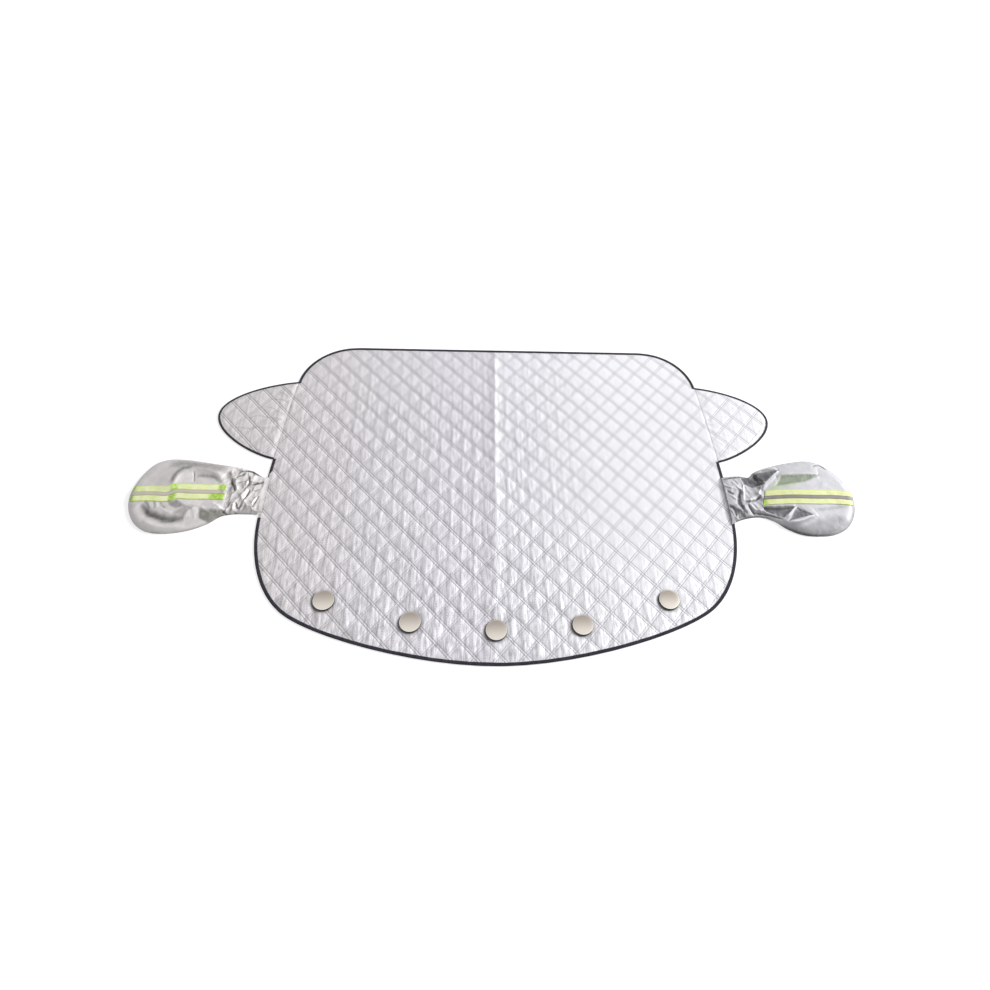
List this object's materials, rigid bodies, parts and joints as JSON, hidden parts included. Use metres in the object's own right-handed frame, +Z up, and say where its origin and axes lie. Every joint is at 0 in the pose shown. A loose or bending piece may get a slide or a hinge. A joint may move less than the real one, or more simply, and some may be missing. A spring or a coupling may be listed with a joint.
{
  "type": "windshield frost cover",
  "caption": "Quilted foil windshield cover laid flat, with door flaps, gathered mirror covers with hi-vis tape, dark edge binding and disc magnets along its lower edge.",
  "frame": {"origin": "on the floor under the middle of the bounding box, on the cover's middle line", "axes": "+X to the cover's right side seen from its bonnet edge, +Y towards its roof edge, +Z up off the floor"},
  "size_m": [2.298, 1.1862, 0.0277],
  "materials": {
    "quilted_foil": "crinkled metallised film over padding, satin",
    "silver_cloth": "silver coated cloth, satin",
    "binding": "dark woven tape, matte",
    "elastic": "covered elastic, matte",
    "hi_vis_yellow": "fluorescent woven tape, matte",
    "reflective_grey": "reflective beaded film, satin",
    "nickel": "satin nickel plate"
  },
  "bodies": {
    "root": {"quilted_panel": "quilted_foil", "door_flap_left": "quilted_foil", "door_flap_right": "quilted_foil", "binding_top": "binding", "binding_bottom": "binding", "binding_side_left": "binding", "binding_side_right": "binding", "binding_flap_left": "binding", "binding_flap_right": "binding", "mirror_cover_neck_left": "silver_cloth", "mirror_cover_neck_right": "silver_cloth", "mirror_cover_front_left": "silver_cloth", "mirror_cover_front_right": "silver_cloth", "mirror_cover_back_left": "silver_cloth", "mirror_cover_back_right": "silver_cloth", "mouth_elastic_left": "elastic", "mouth_elastic_right": "elastic", "hi_vis_tape_left": "hi_vis_yellow", "hi_vis_tape_right": "hi_vis_yellow", "reflective_stripe_left": "reflective_grey", "reflective_stripe_right": "reflective_grey", "magnet_outer_left": "nickel", "magnet_inner_left": "nickel", "magnet_centre": "nickel", "magnet_inner_right": "nickel", "magnet_outer_right": "nickel"}
  },
  "joints": []
}
